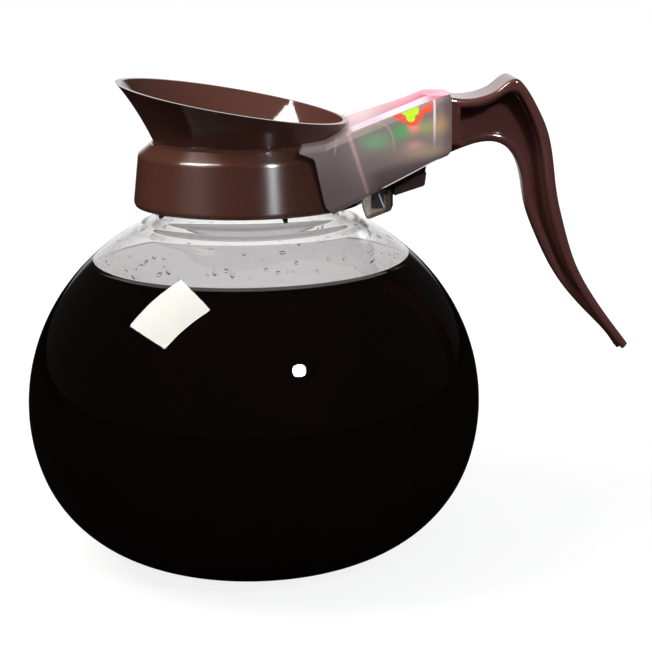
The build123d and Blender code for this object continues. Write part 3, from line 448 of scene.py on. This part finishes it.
def ring_up(name, profile, around):
    """Turned shape: a circle that is extruded and scaled from ring to ring, closed at both ends."""
    bpy.ops.object.select_all(action="DESELECT")
    radius, z = profile[0]
    bpy.ops.mesh.primitive_circle_add(vertices=around, radius=radius * MM, fill_type="TRIFAN",
                                      location=(0, 0, z * MM))
    piece = bpy.context.object
    piece.name = name
    bpy.ops.object.mode_set(mode="EDIT")
    bpy.ops.mesh.select_mode(type="EDGE")
    bpy.ops.mesh.select_all(action="SELECT")
    bpy.ops.mesh.region_to_loop()
    for next_radius, next_z in profile[1:]:
        step = (0, 0, (next_z - z) * MM)
        bpy.ops.mesh.extrude_region_move(TRANSFORM_OT_translate={"value": step})
        scale = next_radius / radius
        bpy.ops.transform.resize(value=(scale, scale, 1))
        radius, z = next_radius, next_z
    bpy.ops.mesh.edge_face_add()
    bpy.ops.mesh.select_all(action="SELECT")
    bpy.ops.mesh.normals_make_consistent(inside=False)
    bpy.ops.object.mode_set(mode="OBJECT")
    bpy.ops.object.transform_apply(location=True, rotation=True, scale=True)
    bpy.ops.object.shade_smooth_by_angle(angle=SMOOTH_ANGLE)
    print(name, "has", len(piece.data.polygons), "faces")
    return piece


# %% Turn the bowl
BEAD, BEAD_IN, BEAD_DROP, LIP_ROUND = 1.8, 0.2, 0.3, 0.3
NECK_STEPS, BEAD_STEPS = 6, 14
BOWL_AROUND = 160
bead_z = NECK_TOP - BEAD - BEAD_DROP
bead_turn = acos(BEAD_IN / BEAD)
neck_in = NECK_RADIUS - GLASS_WALL
profile = outside + [(NECK_RADIUS, z) for z in even(outside[-1][1], bead_z - BEAD, NECK_STEPS)[1:]]
profile += arc((NECK_RADIUS - BEAD_IN, bead_z), BEAD, -bead_turn, bead_turn, BEAD_STEPS)
profile += [(NECK_RADIUS, NECK_TOP - LIP_ROUND / 2), (NECK_RADIUS - LIP_ROUND, NECK_TOP),
            (neck_in + LIP_ROUND, NECK_TOP), (neck_in, NECK_TOP - LIP_ROUND)]
profile += [(neck_in, z) for z in even(NECK_TOP, inner[-1][1], NECK_STEPS)[1:-1]]
profile += list(reversed(inner))
glass_bowl = ring_up("blown_bowl", profile, BOWL_AROUND)

# %% Clear glass
glass = Finish("clear_glass", roughness=0.0, transmission_weight=1.0, ior=1.44)
glass.set(base_color=glass.mix(glass.grain(0.03), srgb(255, 254, 254), srgb(253, 252, 252)))
glass.relief(glass.grain(0.02, 0), 0.008)
glass_bowl.data.materials.append(glass.material)
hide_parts("glass_bowl")
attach(glass_bowl, "decanter")
print(glass.material.name, "on", glass_bowl.name)

# %% [markdown]
# ## Coffee
#
# Coffee is nearly black, and its top is a mirror. Its rings follow the inside of the glass and go a
# third of a millimetre into it, so that no air gap shows. At the wall it creeps up a little, as
# water does on glass. A lathe (Spin) would do the same; extruding a circle keeps the rings level.
# The side is fully matt, because glass touches it there and nothing can mirror; the top has gloss.

# %% Turn the coffee in the bowl
COFFEE_LEVEL = 108.4
COFFEE_OVERLAP = 0.35
COFFEE_AROUND = 144
CREEP = ((0.0, 0.9), (0.9, 0.35), (1.8, 0.1), (3.2, 0.0))


def wall(height):
    """Radius of the upper wall's inside at a height."""
    share = (height - BOWL_WIDEST_Z) / (BOWL_RISE - GLASS_WALL)
    return (BOWL_RADIUS - GLASS_WALL) * sqrt(1 - share * share)


edge = wall(COFFEE_LEVEL) + COFFEE_OVERLAP
profile = [(radius, z) for radius, z in belly(GLASS_WALL - COFFEE_OVERLAP) if z < COFFEE_LEVEL]
profile += [(edge - in_by, COFFEE_LEVEL + up_by) for in_by, up_by in CREEP]
coffee = ring_up("coffee", profile, COFFEE_AROUND)

# %% Coffee from the side and from the top
TOP_SKIN = 0.1
coffee_side = Finish("coffee_side", roughness=1.0, specular_ior_level=0.0)
side_colour = coffee_side.mix(coffee_side.grain(0.02), srgb(7, 3, 3), srgb(9, 4, 3))
coffee_side.set(base_color=side_colour)
coffee_top = Finish("coffee_top", roughness=0.02, ior=1.5)
coffee_top.set(coat_weight=1.0, coat_ior=1.5, coat_roughness=0.0)
top_colour = coffee_top.mix(coffee_top.grain(0.03), srgb(22, 9, 6), srgb(30, 13, 8))
coffee_top.set(base_color=top_colour)
coffee_top.relief(coffee_top.grain(0.03, 1), 0.01)
coffee.data.materials.append(coffee_side.material)
coffee.data.materials.append(coffee_top.material)
for face in coffee.data.polygons:
    face.material_index = 1 if face.center.z > (COFFEE_LEVEL - TOP_SKIN) * MM else 0
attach(coffee, "decanter")
print("faces of the coffee's top:", len([f for f in coffee.data.polygons if f.material_index]))

# %% [markdown]
# ## Drops of steam
#
# Above the coffee, steam has settled on the inside of the glass as small flat drops. They are low
# balls, each pressed flat against the wall. A particle system could scatter them, but a seeded
# random list is simpler and gives the same drops every time.

# %% Scatter the drops
DROPS, SEED = 90, 7
DROP_LOW, DROP_HIGH = 110.0, 120.5
DROP_SMALL, DROP_GROWTH = 0.35, 0.75
DROP_SHORT, DROP_LONG, DROP_FLAT = 0.8, 1.3, 0.3
FIRST_DROP, FIRST_HEIGHT = 0.2, 112
chance = Random(SEED)
bpy.ops.object.select_all(action="DESELECT")
bpy.ops.mesh.primitive_ico_sphere_add(subdivisions=1, radius=FIRST_DROP * MM,
                                      location=(wall(FIRST_HEIGHT) * MM, 0, FIRST_HEIGHT * MM))
drops = bpy.context.object
bpy.ops.object.transform_apply(location=True, rotation=True, scale=True)
drops.name = "steam_drops"
bpy.ops.object.mode_set(mode="EDIT")
for _ in range(DROPS):
    z = chance.uniform(DROP_LOW, DROP_HIGH)
    around = chance.uniform(-pi, pi)
    size = DROP_SMALL + DROP_GROWTH * chance.random() ** 3
    stretch = chance.uniform(DROP_SHORT, DROP_LONG)
    slope = wall(z + 0.5) - wall(z - 0.5)
    outward = Vector((cos(around), sin(around), -slope)).normalized()
    at = (wall(z) * cos(around) * MM, wall(z) * sin(around) * MM, z * MM)
    bpy.ops.mesh.primitive_ico_sphere_add(subdivisions=3, radius=size * MM, location=at,
                                          rotation=outward.to_track_quat("Z", "Y").to_euler(),
                                          scale=(1, stretch, DROP_FLAT))
bpy.ops.object.mode_set(mode="OBJECT")
bpy.ops.object.shade_smooth()
water = Finish("water_clear", roughness=0.0, transmission_weight=1.0, ior=1.33)
water.set(base_color=water.mix(water.grain(0.5), srgb(245, 247, 248), srgb(252, 253, 254)))
drops.data.materials.append(water.material)
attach(drops, "decanter")
print("drops:", DROPS, "with", len(drops.data.polygons), "faces")

# %% [markdown]
# ## Brown plastic
#
# Collar, funnel, handle and lever are injection moulded in one dark brown plastic. Polished steel
# moulds leave a hard gloss with a faint ripple, and use leaves fine scuffs. The funnel is the
# glossiest and the lever the most matt. The colour varies a little from place to place, as moulded
# plastic does along its flow. The collar's mould was turned on a lathe. Its fine rings draw the
# lamp's gloss out into an upright streak, and an anisotropic gloss gives that streak without
# thousands of modelled rings. The lever's top lies in the module's shade, which is painted: it is
# darker, and it is also duller.

# %% Glossy brown plastic
def ripple(finish, depth_mm):
    """The long waves of a polished mould, with a fine texture on them."""
    finish.relief(finish.grain(0.10, 1) + finish.grain(1.6, 2) * 0.06, depth_mm)


def brown_plastic(name, dark, light, roughness, ripple_mm, scuff_stretch):
    """Moulded brown plastic with flow marks, a ripple and fine scuffs."""
    finish = Finish(name, ior=1.5)
    flow = finish.grain(0.05, 3, 0.55, (1, 1, 0.4))
    scuffs = finish.grain(0.8, 3, 0.7, scuff_stretch).rise(0.58, 0.72)
    finish.set(base_color=finish.mix(flow, dark, light), roughness=roughness + scuffs * 0.06)
    ripple(finish, ripple_mm)
    return finish


collar = brown_plastic("brown_collar", srgb(86, 50, 40), srgb(94, 56, 45), 0.26, 0.03, (1, 1, 6))
collar.set(anisotropic=0.9, anisotropic_rotation=0.25)
collar.set(coat_weight=0.5, coat_roughness=0.06, coat_ior=1.5)
funnel = brown_plastic("brown_funnel", srgb(90, 56, 48), srgb(99, 63, 54), 0.07, 0.02, (1, 1, 5))
handle = brown_plastic("brown_handle", srgb(106, 66, 62), srgb(117, 73, 68), 0.10, 0.08, (5, 1, 1))
wear(collar, "collar")
wear(funnel, "pouring_funnel")
wear(handle, "handle")

# %% Brown plastic of the lever
LEVER_GLOSS, LEVER_DULLER = 0.24, 0.7
lever = Finish("brown_lever", ior=1.5)
shaded_dull_top = lever.facing()[2].rise(0.15, 0.4)
lever_colour = lever.mix(lever.grain(0.05), srgb(76, 54, 54), srgb(84, 60, 59))
# Painted shade: the lever's top, under the module, is darkened; it is also made rougher.
lever.set(base_color=lever.mix(shaded_dull_top, lever_colour, srgb(24, 16, 16)))
lever.set(roughness=LEVER_GLOSS + shaded_dull_top * LEVER_DULLER)
ripple(lever, 0.03)
wear(lever, "latch_lever")

# %% [markdown]
# ## Smoky module
#
# The module's shell is tinted clear plastic with a fine eroded texture, so that lights and board
# show through it only as soft coloured clouds. Real light scattering inside thin plastic needs many
# samples and stays noisy. Here the shell lets a little light through, the whole shell glows a
# little as painted light, and the clouds are soft oval patches of painted glow. On the sides they
# are laid out over the shell's X and Z, and on top over X and Y. The red wings, the lime drop and
# the painted highlight on the edge have to line up across the shell's rounded edge, so they are
# laid out over X and the seen height: a point that stands out to the side is seen lower, because
# the camera looks down on it. The rounded edges, above and below, and one corner carry painted
# highlights.

# %% The shell's coordinates, bare tint and painted glow
# Places in this step and the next ones are in millimetres, along X, Y, Z or the seen height.
SEEN_LOWER = 0.244
EDGE_X, EDGE_Z, EDGE_SLOPE = 51.2, 156.7, 0.41
LOW_TINT, HIGH_TINT, CLOUDY_TINT = srgb(112, 98, 100), srgb(146, 132, 130), srgb(156, 136, 132)
REAR_TINT, HANDLE_TINT = srgb(62, 48, 51), srgb(100, 76, 80)
LOW_SHINE, HIGH_SHINE = srgb(58, 50, 51), srgb(98, 90, 87)
HANDLE_SHINE, COLLAR_SHINE = srgb(62, 42, 46), srgb(30, 22, 26)
shell = Finish("smoke_shell", ior=1.5, transmission_weight=0.1, emission_strength=1.0)
x, y, z = shell.place()
facing_up = shell.facing()[2]
seen = z - y.size() * SEEN_LOWER
over_edge = seen - EDGE_Z - (x - EDGE_X) * EDGE_SLOPE
on_top = over_edge.rise(2.6, 3.4)
on_side = (1 - over_edge.rise(-0.15, 0.25)) * (1 - (facing_up * -1).rise(0.25, 0.6))
low_rear = (1 - (z - 0.18 * x).rise(133, 137)) * x.rise(38, 46)
tint = shell.mix(z.rise(134, 156), LOW_TINT, HIGH_TINT)
tint = shell.mix(shell.grain(0.05, 2) * 0.35, tint, CLOUDY_TINT)
tint = shell.mix(low_rear, tint, REAR_TINT)
tint = shell.mix(x.rise(66.5, 70) * 0.7, tint, HANDLE_TINT)
# Painted light: the whole shell glows a little, brighter high up, and dimmer by the handle and near
# the collar.
shine = shell.mix(z.rise(134, 158), LOW_SHINE, HIGH_SHINE)
shine = shell.mix(x.rise(66, 70) * 0.5, shine, HANDLE_SHINE)
shine = shell.mix((1 - x.rise(28, 38)) * 0.6, shine, COLLAR_SHINE)

# %% Clouds of light behind the shell
# A cloud has a centre, a reach, a colour and a strength, and a wing a centre, a reach and a lean.
SIDE_CLOUDS = (
    ((43.6, 153.3), (8.0, 4.2), srgb(122, 164, 126), 0.75),
    ((52.7, 156.1), (4.6, 3.8), srgb(84, 168, 100), 0.9),
    ((61.2, 156.9), (5.0, 3.4), srgb(150, 168, 112), 0.85),
    ((66.2, 157.2), (4.6, 4.6), srgb(190, 150, 106), 0.8),
    ((57.0, 157.4), (3.0, 3.2), srgb(252, 152, 138), 0.95),
    ((57.6, 150.6), (4.6, 2.6), srgb(202, 150, 146), 0.8),
    ((60.0, 148.6), (12.0, 3.4), srgb(166, 140, 122), 0.7),
)
TOP_CLOUDS = (
    ((61, 0), (24, 40), srgb(236, 116, 146), 0.95),
    ((40, 0), (9, 40), srgb(222, 178, 186), 0.85),
    ((77, 0), (6, 40), srgb(120, 108, 108), 0.9),
)
WINGS = (
    ((51.8, 155.6), (3.8, 2.2), -0.45),
    ((56.2, 153.5), (3.2, 1.5), 0.0),
    ((59.3, 155.8), (2.5, 2.4), 1.2),
    ((62.2, 158.7), (3.8, 2.0), 0.45),
)
WING_RED, WING_FAINT, WING_FULL = srgb(250, 98, 72), 0.1, 0.6
patches = []
# Painted glow: the clouds and the red wings stand for light from inside the shell.
for centre, reach, colour, share in SIDE_CLOUDS:
    patches.append((shell.spot((x, z), centre, reach) * share * on_side, colour))
for centre, reach, lean in WINGS:
    wing = shell.spot((x, seen - (x - centre[0]) * lean), centre, reach)
    patches.append((wing.rise(WING_FAINT, WING_FULL) * on_side, WING_RED))
for centre, reach, colour, share in TOP_CLOUDS:
    patches.append((shell.spot((x, y), centre, reach) * share * on_top, colour))
print("clouds and wings:", len(patches))

# %% The lime drop and the fork over it
LIME = srgb(206, 255, 48)
DROP_X, DROP_Z, FORK_X, FORK_Z, FORK_SPREAD = 55.9, 155.3, 55.8, 155.0, 1.6
# Painted glow of the green light inside the shell: a round drop and a fork above it.
from_drop = (x - DROP_X) * (x - DROP_X) + (seen - DROP_Z) * (seen - DROP_Z)
from_fork = (x - FORK_X).size()
fork = 1 - (from_fork - (seen - FORK_Z) * FORK_SPREAD).rise(0.0, 0.5)
fork = fork * (1 - over_edge.rise(-0.5, -0.2)) * (1 - from_fork.rise(2.8, 3.3))
lime = (1 - from_drop.rise(2.0, 3.2)).or_more(fork)

# %% Pale lines: a seam, the outline of a cell and a painted highlight streak
PALE_PINK, HIGHLIGHT_WHITE = srgb(206, 166, 166), srgb(255, 240, 248)
SEAM_X, SEAM_Z, SEAM_SLOPE = 34.2, 155.6, 0.311
CELL_X, CELL_Z, CELL_WIDE, CELL_TALL = 39.5, 145, 10.6, 14.6
HIGHLIGHT_STREAK_X = 64.6
seam = 1 - (x - SEAM_X - (SEAM_Z - z) * SEAM_SLOPE).size().rise(0.1, 1.2)
seam = seam * on_side * (0.2 + z.rise(138, 156) * 0.4)
cell = ((x - CELL_X) / CELL_WIDE) ** 4 + ((z - CELL_Z) / CELL_TALL) ** 4
cell = cell.within(0.9, 1.0, 0.06) * z.rise(149, 151) * on_side * 0.4
# Painted highlight: an upright streak down the rounded corner at the rear of the side.
streak = (1 - (x - HIGHLIGHT_STREAK_X).size().rise(0.1, 0.65)) * z.rise(147, 163) * on_side * 0.9
patches += [(seam, PALE_PINK), (cell, PALE_PINK), (streak, HIGHLIGHT_WHITE)]

# %% Painted highlights along the shell's edges, above and below
HIGHLIGHT_LILAC, HIGHLIGHT_PINK = srgb(250, 206, 222), srgb(246, 156, 176)
# Painted highlight: a pale band along the rounded top edge of the side.
band = over_edge.within(0.1, 2.8, 0.3) * (facing_up + 0.1).rise(0.0, 0.1) * x.within(37, 70, 3)
highlight_colour = shell.mix(x.rise(43, 51), HIGHLIGHT_LILAC, HIGHLIGHT_WHITE)
highlight_colour = shell.mix(x.rise(60, 65), highlight_colour, HIGHLIGHT_PINK)
# Painted highlight: a white line along the rounded bottom edge.
low_edge_highlight = (1 - facing_up.rise(-0.75, -0.55)) * facing_up.rise(-0.92, -0.8)
low_edge_highlight = low_edge_highlight * x.within(47, 65, 2) * 0.8
patches += [(band, highlight_colour), (low_edge_highlight, HIGHLIGHT_WHITE), (lime, LIME)]
print("clouds, wings and marks:", len(patches))

# %% Lay the patches over the shell
for amount, colour in patches:
    shine = shell.mix(amount, shine, colour)
    tint = shell.mix(amount, tint, BLACK)
shell.set(base_color=tint, emission_color=shine, roughness=0.2 + shell.grain(1.2, 2) * 0.1)
shell.relief(shell.grain(0.8, 2), 0.004)
wear(shell, "module_housing")

# %% [markdown]
# ## Base plate and sensor foot
#
# The plate closes the module from below, and its foot holds the heat sensor against the glass. It
# is the same smoky plastic, but pale and cloudy in the foot, where light comes in from both sides;
# the foot's sides glow a little with that light, which is painted glow. The foot hides the real
# sensor block nearly completely. So the block, a painted highlight on its edge and the dark rims of
# the foot are painted by place.

# %% Smoky plastic of the base plate
SENSOR_X, SENSOR_Z = (43.4, 47.6), (126.7, 133.0)
FRONT_PALE, MIDDLE_PALE, REAR_DARK = srgb(178, 168, 154), srgb(150, 128, 110), srgb(58, 48, 47)
SENSOR_BLACK, GLINT_WHITE, RIM_DARK = srgb(30, 28, 33), srgb(212, 214, 222), srgb(52, 46, 46)
FOOT_CLOUD, PLATE_DARK = srgb(120, 110, 104), srgb(30, 24, 25)
FOOT_LIGHT = 0.4
plate = Finish("smoke_plate", ior=1.5, transmission_weight=0.15, emission_strength=1.0)
x, y, z = plate.place()
in_foot = (1 - x.rise(49.8, 50.6)) * (1 - z.rise(132.4, 133.4))
sensor = x.within(*SENSOR_X, 0.5) * z.within(*SENSOR_Z, 0.5)
# Painted highlight: a thin bright line along the sensor's edge.
glint = 1 - (x - 46.1 - (131.4 - z) * 0.37).size().rise(0.08, 0.32)
front_rim = 1 - (x - 39.7 - (129.1 - z) * 0.29).rise(0.15, 0.6)
under_rim = 1 - (z - 123.4 - (x - 41.35) * 0.34).rise(0.2, 0.7)
rim = front_rim.or_more(under_rim).or_more(x.rise(49.2, 49.9))
foot = plate.mix(x.rise(42.4, 43.6), FRONT_PALE, MIDDLE_PALE)
foot = plate.mix(x.rise(47.4, 48.6), foot, REAR_DARK)
foot = plate.mix(sensor, foot, SENSOR_BLACK)
foot = plate.mix(glint * z.within(127.0, 131.6, 0.3), foot, GLINT_WHITE)
foot = plate.mix(rim * 0.75, foot, RIM_DARK)
cloudy = plate.mix(plate.grain(0.6, 2) * 0.25, foot, FOOT_CLOUD)
# Painted glow: the foot's sides give off their own cloudy colour, for light coming through them.
lit = in_foot * FOOT_LIGHT * y.size().rise(5.6, 6.1)
plate.set(base_color=plate.mix(in_foot, PLATE_DARK, cloudy))
plate.set(emission_color=plate.mix(lit, BLACK, cloudy))
plate.set(roughness=0.22 + plate.grain(1.5, 2) * 0.12)
plate.relief(plate.grain(1.2, 2), 0.004)
wear(plate, "module_base")

# %% [markdown]
# ## Metal, rubber, board and lights
#
# These parts hide under the plastic, but they show through the shell and from below. Steel is drawn
# or turned, so its gloss is streaked along one way. Rubber is matt and dusty. The board is green
# lacquer over copper lines, and the lights are tinted drops of epoxy that glow a little unevenly.

# %% Streaked steel
def streaked(name, dark, light, roughness, stretch):
    """Bright metal with fine drawing lines."""
    finish = Finish(name, metallic=1.0)
    lines = finish.grain(1.2, 3, 0.6, stretch)
    finish.set(base_color=finish.mix(lines, dark, light), roughness=roughness + lines * 0.15)
    finish.relief(lines, 0.01)
    return finish


drawn = streaked("steel_band", srgb(168, 169, 173), srgb(206, 207, 210), 0.22, (1, 1, 14))
turned = streaked("steel_turned", srgb(160, 161, 165), srgb(204, 205, 208), 0.20, (8, 8, 1))
nickel = streaked("cell_nickel", srgb(186, 184, 178), srgb(216, 214, 208), 0.26, (3, 3, 1))
wear(drawn, "neck_band")
wear(turned, "band_screw", "band_nut", "base_screws", "board_screws", "lever_pin", "lever_spring")
wear(nickel, "button_cells", "cell_clips")

# %% Dark plastic and rubber
def matt(name, dark, light, roughness, per_mm):
    """Matt material with a fine eroded texture."""
    finish = Finish(name)
    texture = finish.grain(per_mm, 3, 0.6)
    finish.set(base_color=finish.mix(texture, dark, light), roughness=roughness + texture * 0.12)
    finish.relief(texture, 0.02)
    return finish


black_plastic = matt("black_plastic", srgb(27, 26, 30), srgb(38, 36, 40), 0.34, 1.8)
sleeve = matt("lead_sleeve", srgb(24, 23, 25), srgb(40, 38, 40), 0.45, 3.0)
rubber = matt("seal_rubber_black", srgb(22, 21, 21), srgb(34, 32, 32), 0.72, 2.4)
wear(black_plastic, "neck_spacer", "timer_chip", "heat_sensor")
wear(sleeve, "sensor_leads")
wear(rubber, "rim_gasket", "base_seal")

# %% Board, lights and guide
board = Finish("board_lacquer", ior=1.5)
tracks = (board.grain(0.35, 0, 0.5, (1, 4, 1)) - 0.5).size().rise(0.02, 0.05)
board.set(base_color=board.mix(tracks, srgb(60, 148, 84), srgb(30, 104, 52)))
board.set(roughness=0.28 + tracks * 0.12)
board.relief(tracks, 0.03)
wear(board, "circuit_board")


def light_drop(name, glass_colour, glow_colour, strength):
    """Tinted epoxy that glows a little unevenly."""
    finish = Finish(name, ior=1.5, base_color=glass_colour, emission_strength=strength)
    cloud = finish.grain(0.6, 2)
    finish.set(emission_color=finish.mix(cloud, glow_colour, glass_colour))
    finish.set(roughness=0.12 + cloud * 0.1)
    return finish


wear(light_drop("red_lamp", srgb(240, 70, 44), srgb(255, 70, 40), 2.0), "led_red")
wear(light_drop("green_lamp", srgb(205, 245, 50), srgb(200, 255, 50), 2.0), "led_green")
wear(light_drop("amber_lamp", srgb(235, 150, 60), srgb(255, 150, 50), 1.0), "led_amber")
clear = Finish("clear_guide", ior=1.5, transmission_weight=0.9)
clear.set(base_color=clear.mix(clear.grain(0.2), srgb(250, 236, 236), srgb(252, 244, 244)))
clear.set(roughness=0.08 + clear.grain(1.0) * 0.08)
wear(clear, "light_guide")
